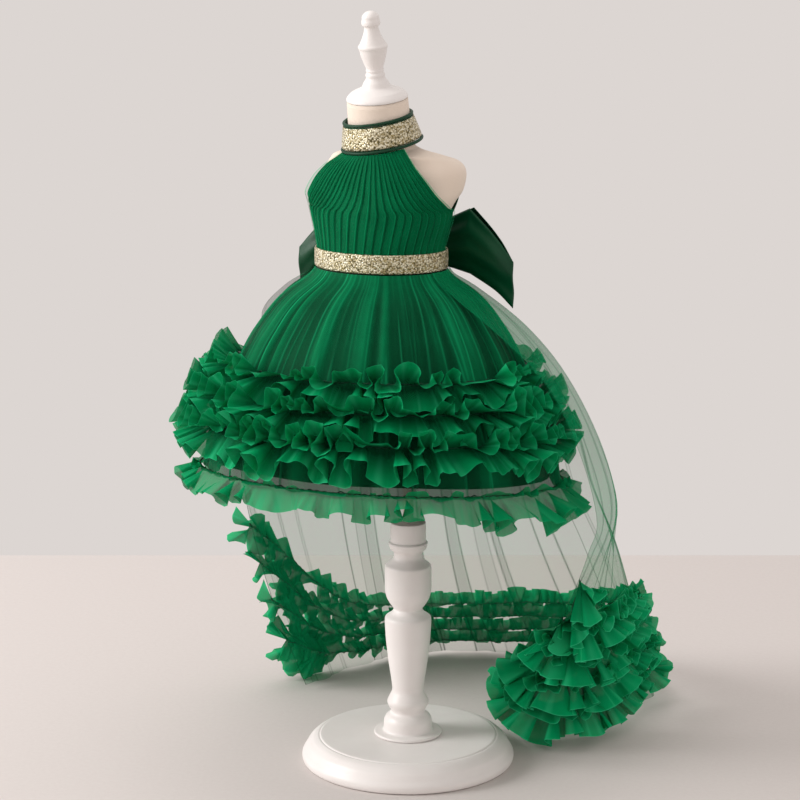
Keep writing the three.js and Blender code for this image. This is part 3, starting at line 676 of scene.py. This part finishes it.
# Over it hangs one loose layer of the same tulle, which stands off a little at both sides.
veil_tulle, tree, skin = finish("loose_tulle")
weave_tulle(tree, skin, "#00703F", "#0A9460", "#3DBB86", 0.12, 0.7)
across = np.linspace(0, 1, 181)
level = np.linspace(0, 1, 41)[:, None]
front = smooth(np.arange(len(FRONT)), FRONT, level[:, 0] * (len(FRONT) - 1))
reach = np.radians(front[:, 4:5])
side = np.abs(2 * across - 1) ** 3
off = 3.4 + 3.2 * side * np.sin(np.pi * level) ** 0.7
off = off + 0.5 * np.cos(2 * np.pi * 31 * across + 3 * np.sin(9 * across))
off = off * np.sin(np.pi * np.clip(level, 0.1, 0.9)) ** 0.5
angle = reach * (2 * across - 1)
z, y, half_width, half_depth, lean = (front[:, k : k + 1] for k in (0, 1, 2, 3, 6))
grid = oval(angle, z, y, half_width + off, half_depth + off, lean)
grid = askew(grid, angle, level)
# The side edges are marked as doubled net: denser, and lighter in the line colour as a painted
# highlight.
rim = np.clip(1 - np.minimum(across, 1 - across) * 60, 0, 1)
bodice_veil = piece(shell("loose_front", grid, rim), veil_tulle, "tulle")

# The back of the bodice: two plain fitted halves of satin that meet at the centre back.
SIDE_SEAM = np.radians(100)
BACK_CORNER = 833.8
# z, y, half width, half depth
BACK = np.array([
    (866.8, -50, 121, 95),
    (BACK_CORNER, -57, 105, 84),
    (788, -58, 94, 77),
    (BODICE_HEM, WAIST_Y, 93.2, 76.2),
])


def ease(start, end, x):
    """Eases from 0 to 1 while x goes from start to end."""
    t = np.clip((np.asarray(x, float) - start) / (end - start), 0, 1)
    return t * t * (3 - 2 * t)


for name, start, end in (
    ("bodice_back_left", SIDE_SEAM + 0.0066, np.pi - 0.0041),
    ("bodice_back_right", 0.0041 - np.pi, -SIDE_SEAM - 0.0066),
):
    angle = np.linspace(start, end, 41)
    top = BACK_CORNER + 30 * ease(0, np.pi / 5, np.abs(np.abs(angle) - SIDE_SEAM))
    z = BODICE_HEM + np.linspace(1, 0, 25)[:, None] * (top - BODICE_HEM)
    y, half_width, half_depth = np.moveaxis(smooth(BACK[:, 0], BACK[:, 1:], z), -1, 0)
    mesh = shell(name.replace("bodice_", "") + "_half", oval(angle, z, y, half_width, half_depth))
    back_half = thicken(piece(mesh, satin, "satin", name), 1.2)

# The belt: a stiff band of the beaded brocade round the waist seam.
angle = np.linspace(0, 2 * np.pi, 161)
BELT = [(0, 756), (1.6, 756.4), (2.5, 758), (2.8, 769.5), (2.5, 781), (1.6, 782.6), (0, 783)]
profile = eased(np.array(BELT + BELT[:1]), 1.0)
out, z = profile[:, :1], profile[:, 1:]
mesh = shell("waist_belt", oval(angle, z, WAIST_Y, 96 + out, 79 + out)[::-1])
belt = piece(mesh, brocade, "brocade", "belt")

# The skirt lining: a satin bell, plain, with a narrow turned hem that swings in slow waves.
lining_satin, tree, skin = finish("lining_satin")
weave_satin(tree, skin, "#03200F", "#063A22", 0.5)
# z, half width, half depth, how much higher the front hangs, and how far the tulle stands off the
# lining, the depth of its gathers, and how far the train stands off
BELL = np.array([
    (WAIST_Z, 93.2, 76.2, 0, 2.3, 0.6, 6.4),
    (744, 101, 84, 0, 4, 2, 10),
    (722, 129, 115, 1, 5, 4, 17),
    (670, 170, 161, 4, 6, 6, 40),
    (602, 204, 198, 11, 6, 7, 63),
    (512, 238, 234, 23, 6, 8, 78),
    (424, 250, 246, 32, 6, 9, 92),
])
LINING_HEM = 465


def bell(z, angle, out):
    """A point of the skirt: the bell's oval at one height, widened by out and lifted in front."""
    half_width, half_depth, front_up = np.moveaxis(smooth(BELL[:, 0], BELL[:, 1:4], z), -1, 0)
    grid = oval(angle, z, WAIST_Y, half_width + out, half_depth + out)
    grid[..., 2] += front_up * np.cos(angle)
    return grid


angle = np.linspace(0, 2 * np.pi, 193)
z = np.linspace(WAIST_Z, LINING_HEM, 70)[:, None]
sway = 2.5 * ease(640, LINING_HEM, z) * (np.sin(5 * angle + 1) + 0.6 * np.sin(8 * angle))
mesh = shell("lining_bell", bell(z, angle, sway))
skirt_lining = piece(mesh, lining_satin, "satin", "skirt_lining")
thicken(skirt_lining, 1.0)


# The tulle skirt: soft tulle gathered into the waist over the lining, and a little longer than it.
# The gathers start fine and close at the waist and open into long soft folds.
def wander(u, seed, waves):
    """A smooth uneven curve round a closed edge: sines of the numbers of waves, each started at
    its own random place, between about -1 and 1."""
    starts = np.random.default_rng(seed).uniform(0, 2 * np.pi, len(waves))
    total = sum(np.sin(2 * np.pi * w * u + start) for w, start in zip(waves, starts))
    return total / len(waves) ** 0.5


def crests(u, count, seed, sharp):
    """Folds round a closed edge, about count of them, unevenly spaced: crests of 1, the narrower
    the sharper, with hollows of 0 between them."""
    phase = count * u + 0.45 * wander(u, seed, (3, 5, 8, 13))
    height = 0.65 + 0.35 * wander(u, seed + 1, (4, 7, 11))
    return (0.5 + 0.5 * np.cos(2 * np.pi * phase)) ** sharp * height


def creases(u, down, count, seed, lean, width):
    """Single fold lines, count of them, that run down a sheet: each has its own place, leans its
    own way by up to lean, and starts and ends at its own level, from 0 to 1 down the sheet."""
    dice = np.random.default_rng(seed)
    lines = np.zeros(np.broadcast(u, down).shape)
    for k in range(count):
        place = (k + dice.uniform(-0.4, 0.4)) / count + dice.uniform(-lean, lean) * down
        start, end = dice.choice((-0.2, -0.2, 0.1, 0.3)), dice.uniform(0.55, 1.5)
        shape = np.exp(-((((u - place + 0.5) % 1 - 0.5) / (width * dice.uniform(0.7, 1.3))) ** 2))
        ends = ease(start, start + 0.15, down) * (1 - ease(end - 0.2, end, down))
        lines = np.maximum(lines, dice.uniform(0.3, 1) * shape * ends)
    return lines


skirt_net, tree, skin = finish("gathered_soft_tulle")
weave_tulle(tree, skin, "#005C38", "#008250", "#16A56D", 0.8, 0.97)
TULLE_TOP = 754.4
TULLE_HEM = 452
u = np.linspace(0, 1, 961)
angle = 2 * np.pi * u
z = np.linspace(TULLE_TOP, TULLE_HEM, 72)[:, None]
down = (TULLE_TOP - z) / (TULLE_TOP - TULLE_HEM)
stand, gather = np.moveaxis(smooth(BELL[:, 0], BELL[:, 4:6], z), -1, 0)
broad = np.clip(crests(u + 0.006 * down * wander(u, 31, (2, 5)), 22, 11, 1.5), 0, 1)
fine = crests(u, 83, 21, 3) * (1 - ease(0.1, 0.5, down))
lines = creases(u, down, 74, 33, 0.02, 0.0011)
folds = gather * (1.3 * broad + 0.25 * fine) + 1.6 * lines * ease(0, 0.15, down)
# The marks give the crease lines and the fine gathers near the waist a painted highlight in the lighter
# line colour, the net denser there where it lies double, and painted shade in the hollows between the
# broad gathers.
skirt_tulle = piece(
    shell(
        "gathered_skirt",
        bell(z, angle, stand + folds),
        np.clip(lines + 0.3 * fine, 0, 1),
        0.62 * (1 - broad) ** 2 * ease(-0.1, 0.15, down),
    ),
    skirt_net,
    "tulle",
    "skirt_tulle",
)

# The three ruffle tiers: strips of crisper tulle gathered along their middle and sewn round the
# skirt, with one lip that stands up and one that hangs. Their edges run in deep round waves.
ruffle_net, tree, skin = finish("crisp_tulle")
weave_tulle(tree, skin, "#00824D", "#00AE6A", "#3CC791", 0.82, 0.98)


def lip(columns, waves, seed, length, drop, wave, swing, levels=10):
    """One lip of a gathered strip, with its marks: the doubled free edge and fine streaks along the
    lip, denser and lit as a painted highlight, and painted shade, darkest at the seam and where the
    wave dips. columns hold the line that it is sewn to, the way out, the way up, the way along and
    how far it reaches. Out along the lip, share goes from 0 at the seam to 1 at the free edge: the
    cloth runs out and falls by drop, rises and falls by wave times the cosine of its phase, and
    sways along by swing times the sine of twice its phase, so that each wave is wider than its
    neck. Fine creases run out along it."""
    seam, out, up, along, reach = columns
    u = np.linspace(0, 1, len(seam))
    phase = 2 * np.pi * (waves * u + 0.55 * wander(u, seed, (2, 5, 9, 14)))
    phase = phase + 0.5 * wander(u, seed + 4, (waves // 2, waves - 3))
    height = np.clip(0.9 + 0.42 * wander(u, seed + 1, (3, 7, 12, 17)), 0.3, 1.4)
    fine = np.sin(4.3 * phase + 2 * wander(u, seed + 2, (6, 10)))
    # Streaks of painted highlight along the lip, with no relief of their own.
    highlight_streaks = np.clip(np.sin(6.4 * phase + 3 * wander(u, seed + 5, (9, 16))), 0, 1) ** 2
    rows, doubled_and_highlit, deep = [], [], []
    for share in np.sin(np.linspace(0, np.pi / 2, levels)):
        lift = wave * height * share**1.1 * np.cos(phase) + 0.14 * wave * share * fine
        far = length * share * (1 + 0.12 * wander(u, seed + 3, (8, 13, 21)))
        sway = swing * height * share * np.sin(2 * phase)
        rows.append(
            seam
            + out * (reach * (far * np.cos(drop) + lift * np.sin(drop)))[:, None]
            + up * (reach * (lift * np.cos(drop) - far * np.sin(drop)))[:, None]
            + along * (reach * sway)[:, None]
        )
        # Painted highlight on the doubled free edge and the streaks; painted shade towards the seam and
        # where the wave dips.
        doubled_and_highlit.append(0.9 * (share > 0.99) + 0.4 * highlight_streaks * min(1, 0.3 + share))
        deep.append((1 - share) ** 1.2 * (0.9 - 0.2 * np.cos(phase)))
    return np.array(rows), np.clip(doubled_and_highlit, 0, 1), np.clip(deep, 0, 0.9)


def strip(columns, waves, seed, upper, lower):
    """A strip gathered along its middle: its two lips as one sheet, from the upper edge down."""
    halves = zip(lip(columns, waves, seed, **upper), lip(columns, waves, seed + 7, **lower))
    return tuple(np.concatenate([high[::-1], low[1:]]) for high, low in halves)


def skirt_seam(z, count, flat):
    """A sewing line round the tulle skirt, with the ways out, up and along it. Where the train
    covers the skirt, behind the side seams, the ruffle is pressed to flat of its reach, and at
    the wearer's right it bushes out."""
    u = np.linspace(0, 1, count + 1)
    angle = 2 * np.pi * u
    stand, gather = smooth(BELL[:, 0], BELL[:, 4:6], float(z))
    none = 0 * angle
    seam = bell(z + none, angle, stand + gather + 1.2)
    out = np.stack([np.sin(angle), -np.cos(angle), none], -1)
    along = np.stack([np.cos(angle), np.sin(angle), none], -1)
    round_to = np.abs(np.arctan2(np.sin(angle), np.cos(angle)))
    reach = 1 + (flat - 1) * ease(0.4 * np.pi, 0.55 * np.pi, round_to)
    reach = reach * (1 + 0.1 * np.exp(-(((angle - 1.6 * np.pi) / 0.5) ** 2)))
    return seam, out, np.stack([none, none, none + 1], -1), along, reach


# height, waves, reach under the train, and the length, drop and wave of the upper and lower lip
TIERS = (
    (617, 31, 0.62, (38, -0.4, 15), (44, 0.5, 18)),
    (574, 34, 0.75, (46, -0.4, 18), (48, 0.5, 20)),
    (528, 37, 0.82, (46, -0.4, 18), (52, 0.55, 20)),
)
TIER_SWING = 8
seams = []
for k, (z, waves, flat, *lips) in enumerate(TIERS):
    columns = skirt_seam(z, waves * 26, flat)
    upper, lower = (
        {"length": length, "drop": drop, "wave": wave, "swing": TIER_SWING}
        for length, drop, wave in lips
    )
    grid, doubled_and_highlit, deep = strip(columns, waves, 40 + 20 * k, upper, lower)
    # Painted highlight on each ruffle's doubled edge and streaks, and painted shade towards its seam.
    mesh = shell(f"tier_{k + 1}_ruffle", grid, doubled_and_highlit, deep)
    tier = piece(mesh, ruffle_net, "tulle", f"ruffle_tier_{k + 1}")
    seams.append(columns[0] + 1.0 * columns[1])

# The hem ruffle: a narrower strip at the tulle's hem, gathered near its upper edge. It bushes out
# at the wearer's left.
hem_net, tree, skin = finish("single_crisp_tulle")
weave_tulle(tree, skin, "#00824D", "#00A566", "#27B37A", 0.84, 0.97)
HEM = {"z": 458, "waves": 34, "steps": 24, "flat": 0.95}
*columns, reach = skirt_seam(HEM["z"], HEM["waves"] * HEM["steps"], HEM["flat"])
bush = 1 + 0.75 * np.exp(-(((np.linspace(0, 1, len(reach)) - 0.23) / 0.07) ** 2))
columns = (*columns, reach * bush)
grid, doubled_and_highlit, deep = strip(
    columns,
    HEM["waves"],
    100,
    {"length": 12, "drop": -0.3, "wave": 5, "swing": 3},
    {"length": 36, "drop": 0.75, "wave": 12, "swing": 8},
)
# Painted highlight on the doubled edge and streaks, and painted shade towards the seam at a quarter
# strength.
hem_ruffle = piece(shell("hem_frill", grid, doubled_and_highlit, 0.25 * deep), hem_net, "tulle", "hem_ruffle")
seams.append(columns[0] + 1.0 * columns[1])

# The train: one wide layer of sheer tulle, gathered into the waist at the sides and back, open
# in front, that falls to the floor in long folds. Where it folds on itself it shows a dark line.
train_net, tree, skin = finish("sheer_tulle")
weave_tulle(tree, skin, "#008750", "#0AA86C", "#00603A", 0.3, 0.86)
# height, and the angles from the front at which the two edges hang
TRAIN_EDGES = np.array([(WAIST_Z, 70, 70), (602, 88, 113)])
TRAIN_TOP = 755.7
TRAIN_MIDDLE_Y = 60
# share along the hem, x, y, z, and the power by which the plan widens down to it
TRAIN_HEM = np.array([
    (0, 52, 254, 22, 1.25),
    (0.056, 84, 192, 8, 1.25),
    (0.113, 146, 168, 8, 1.1),
    (0.168, 204, 208, 8, 0.95),
    (0.23, 220, 292, 8, 0.85),
    (0.33, 228, 424, 8, 0.85),
    (0.452, 130, 524, 8, 1.0),
    (0.574, -34, 524, 8, 1.3),
    (0.711, -190, 446, 8, 1.5),
    (0.861, -262, 330, 8, 1.5),
    (0.93, -277, 262, 8, 1.5),
    (1, -288, 203, 8, 1.5),
])
# share along the hem, and the heights there of the four rows of ruffle
TRAIN_ROWS = np.array([
    (0, 320, 240, 160, 88),
    (0.06, 242, 180, 126, 72),
    (0.11, 236, 172, 120, 69),
    (0.3, 205, 160, 112, 62),
    (0.45, 142, 110, 77, 42),
    (0.55, 123, 93, 62, 33),
    (0.71, 114, 84, 56, 30),
    (0.81, 124, 90, 60, 32),
    (0.86, 146, 103, 68, 36),
    (0.93, 224, 158, 104, 54),
    (1, 304, 236, 170, 94),
])
u = np.linspace(0, 1, 901)
rows = []
for z in (TRAIN_TOP, *BELL[1:, 0]):
    waist, bell_edges = np.radians(TRAIN_EDGES[:, 1:])
    left, right = waist + ease(*TRAIN_EDGES[:, 0], z) * (bell_edges - waist)
    angle = left + u * (2 * np.pi - left - right)
    rows.append(bell(z + 0 * angle, angle, smooth(BELL[:, 0], BELL[:, 6], z) + 0 * angle))
foot = rows[-1]
hem = smooth(TRAIN_HEM[:, 0], TRAIN_HEM[:, 1:], u)
heights = smooth(TRAIN_ROWS[:, 0], TRAIN_ROWS[:, 1:], u).T
shares = (foot[:, 2] - heights) / (foot[:, 2] - hem[:, 2])
for share in (shares[0] / 2, *shares, 1 + 0 * u):
    plan = share ** hem[:, 3]
    rows.append(foot + (hem[:, :3] - foot) * np.stack([plan, plan, share], -1))
train_rows = np.array(rows)
outwards = foot[:, :2] - (MIDDLE_X, TRAIN_MIDDLE_Y)
outwards /= np.linalg.norm(outwards, axis=1)[:, None]

# place at the hem, how far it bends towards its place at the waist, half its width, and strength
dice = np.random.default_rng(61)
FOLD_SPACES = 24
FOLD_HALF_WIDTHS = (0, 0.003, 0.006, 0.012)
FOLDS = [
    (
        (k + dice.uniform(-0.4, 0.4)) / FOLD_SPACES,
        dice.uniform(0.03, 0.14),
        dice.choice(FOLD_HALF_WIDTHS),
        dice.uniform(0.35, 1),
    )
    for k in range(FOLD_SPACES + 1)
]


def drape(t):
    """Rows of the train at t, counted from the waist along its own rows, with the long folds
    pushed out, and the marks of the folds: a line for each narrow one, a band for each wide."""
    down = np.atleast_1d(t)[:, None] / (len(rows) - 1)
    hill = 0.35 * np.cos(2 * np.pi * 9 * u) + 0 * down
    marks = 0.35 * (1 - ease(0, 0.5, down)) + 0 * u
    for place, bend, half, strength in FOLDS:
        off = np.abs(u - place - bend * (1 - down) ** 2)
        half = half * (0.35 + 0.65 * down)
        hill = hill + 0.6 * strength * np.exp(-((off / 0.01) ** 2))
        band = 0.3 * strength * np.clip((half - off) / 0.003, 0, 1)
        line = strength * np.exp(-(((off - half) / 0.0012) ** 2))
        marks = np.maximum(marks, np.maximum(band, line))
    grid = smooth(np.arange(len(rows)), train_rows, np.atleast_1d(t))
    grid[..., :2] += (10 * ease(0.1, 0.9, down) * (hill - 0.2))[..., None] * outwards
    return grid, marks


grid, marks = drape(np.linspace(0, len(rows) - 1, 66))
rim = np.clip(1 - np.minimum(u, 1 - u) * 500, 0, 1)
train = piece(
    shell("sheer_train", grid, np.clip(np.maximum(marks, rim), 0, 1)), train_net, "tulle", "train"
)

# The train's four ruffles: single strips of the crisp tulle, gathered on a line of stitches one
# above the other along the hem. They bunch up where the edge curls in at the wearer's left, and
# spread at the right, where the lowest reaches the train's corner.
train_ruffle_net, tree, skin = finish("bunched_crisp_tulle")
weave_tulle(tree, skin, "#008552", "#00B06C", "#3CCB91", 0.92, 0.98)
bunched = 1 + 0.5 * (1 - ease(0.12, 0.3, u)) + 0.4 * ease(0.82, 0.95, u)
FIRST_ROW = len(rows) - 5
for k in range(4):
    row = FIRST_ROW + k
    near, _ = drape(np.array([row - 0.05, row, row + 0.05]))
    seam = near[1]
    rise = near[0] - near[2]
    up = rise / np.linalg.norm(rise, axis=1)[:, None]
    ahead = np.gradient(seam, axis=0)
    out = np.cross(ahead, up)
    out /= np.linalg.norm(out, axis=1)[:, None]
    room = np.linalg.norm(train_rows[row] - train_rows[row + 1], axis=1)
    reach = np.clip(room / 45, 0.75, 1) * bunched
    if k == 3:
        reach = reach * (1 + 0.4 * ease(0.82, 0.97, u))
    columns = (seam + 1.5 * out, out, up, np.cross(up, out), reach)
    grid, doubled_and_highlit, deep = strip(
        columns,
        46,
        120 + 20 * k,
        {"length": 26, "drop": -0.5, "wave": 11, "swing": 7, "levels": 6},
        {"length": 38, "drop": 0.7, "wave": 13, "swing": 7, "levels": 8},
    )
    grid[..., 2] = np.maximum(grid[..., 2], 0.6)  # the lowest waves lie on the floor
    # Painted highlight on the doubled edge and streaks, and painted shade towards the seam at 0.6
    # strength.
    mesh = shell(f"train_frill_{k + 1}", grid, doubled_and_highlit, 0.6 * deep)
    frill = piece(mesh, train_ruffle_net, "tulle", f"train_ruffle_{k + 1}")
    seams.append(columns[0] + 1.0 * out)

# The gathering stitches: dark green thread drawn up along each ruffle's seam, which puckers.
thread, tree, skin = finish("polyester_thread")
weave_satin(tree, skin, "#032A18", "#06402A", 0.5)
grids = []
for k, seam in enumerate(seams):
    u = np.linspace(0, 1, len(seam))
    pucker = 0.7 * np.sin(2 * np.pi * 150 * u) + 0.9 * wander(u, 120 + k, (37, 53, 71))
    path = seam + np.stack([0 * u, 0 * u, pucker], -1)
    grids.append(rolled(path, 0.9, 5))
work = bmesh.new()
for k, grid in enumerate(grids):
    part = shell(f"stitch_line_{k + 1}", grid)
    work.from_mesh(part)
    bpy.data.meshes.remove(part)
mesh = bpy.data.meshes.new("gathering_stitches")
work.to_mesh(mesh)
work.free()
mesh.shade_smooth()
piece(mesh, thread, "piping")

# The bow: two big flat loops of heavy satin that droop over the back of the skirt, drawn in by
# a knot. Creases run out from the knot and die away over each loop.
bow_satin, tree, skin = finish("heavy_bow_satin")
weave_satin(tree, skin, "#003520", "#04502F", 0.36)
BOW_Y, BOW_Z = 31, 776
# out from the middle, y, top, bottom, puff
LOOP = np.array([
    (13.2, BOW_Y, 786, 762, 4),
    (55, 44, 815, 747, 15),
    (98, 38, 834, 739, 17),
    (144, 24, 796, 719, 12),
    (174, 14, 763, 697, 1.5),
])
steps_out = np.linspace(0, 1, 61)
for name, side in (("bow_loop_left", 1), ("bow_loop_right", -1)):
    t = steps_out * (len(LOOP) - 1)
    out, y, _, _, puff = smooth(np.arange(len(LOOP)), LOOP, t).T
    top = np.interp(t, np.arange(len(LOOP)), LOOP[:, 2])
    bottom = np.interp(t, np.arange(len(LOOP)), LOOP[:, 3])
    level = np.linspace(0, 1, 31)[:, None]
    fade = (1 - steps_out) ** 1.2 * np.minimum(1, steps_out * 8)
    wrinkles = 3.2 * fade * np.cos(2 * np.pi * (3.2 * level + 0.25 * side + 0.6 * steps_out))
    slump = 3.0 * steps_out * np.sin(np.pi * level) * np.sin(2 * np.pi * (level + 0.5 * steps_out))
    z = top + (bottom - top) * level
    halves = []
    for face in (-1, 1):
        pinch = 0.4 + 0.6 * np.sin(np.pi * level) ** 0.6
        at = y + face * puff * pinch + wrinkles + slump
        halves.append(np.stack(np.broadcast_arrays(MIDDLE_X + side * out, at, z), -1))
    grid = np.concatenate([halves[0], halves[1][:, ::-1], halves[0][:, :1]], axis=1)
    if side < 0:
        grid = grid[:, ::-1]
    mesh = shell(name.replace("bow_", "") + "_of_bow", grid)
    loop = thicken(piece(mesh, bow_satin, "bow_satin", name), 1.2)

u = np.linspace(0, 2 * np.pi, 49)
v = np.linspace(-1, 1, 25)[:, None]
squeeze = 1 - 0.14 * (1 - v**2)
ripple = 0.5 * np.sin(9 * v + 1) + 0.35 * np.sin(17 * v)
knot = np.stack(
    np.broadcast_arrays(
        MIDDLE_X + 12.4 * v,
        BOW_Y + (6.6 * squeeze + ripple * 0.6) * np.sign(np.cos(u)) * np.abs(np.cos(u)) ** 0.6,
        BOW_Z + (17.4 * squeeze + ripple) * np.sign(np.sin(u)) * np.abs(np.sin(u)) ** 0.8,
    ),
    -1,
)
bow_knot = thicken(piece(shell("knot", knot), bow_satin, "bow_satin", "bow_knot"), 1.2)
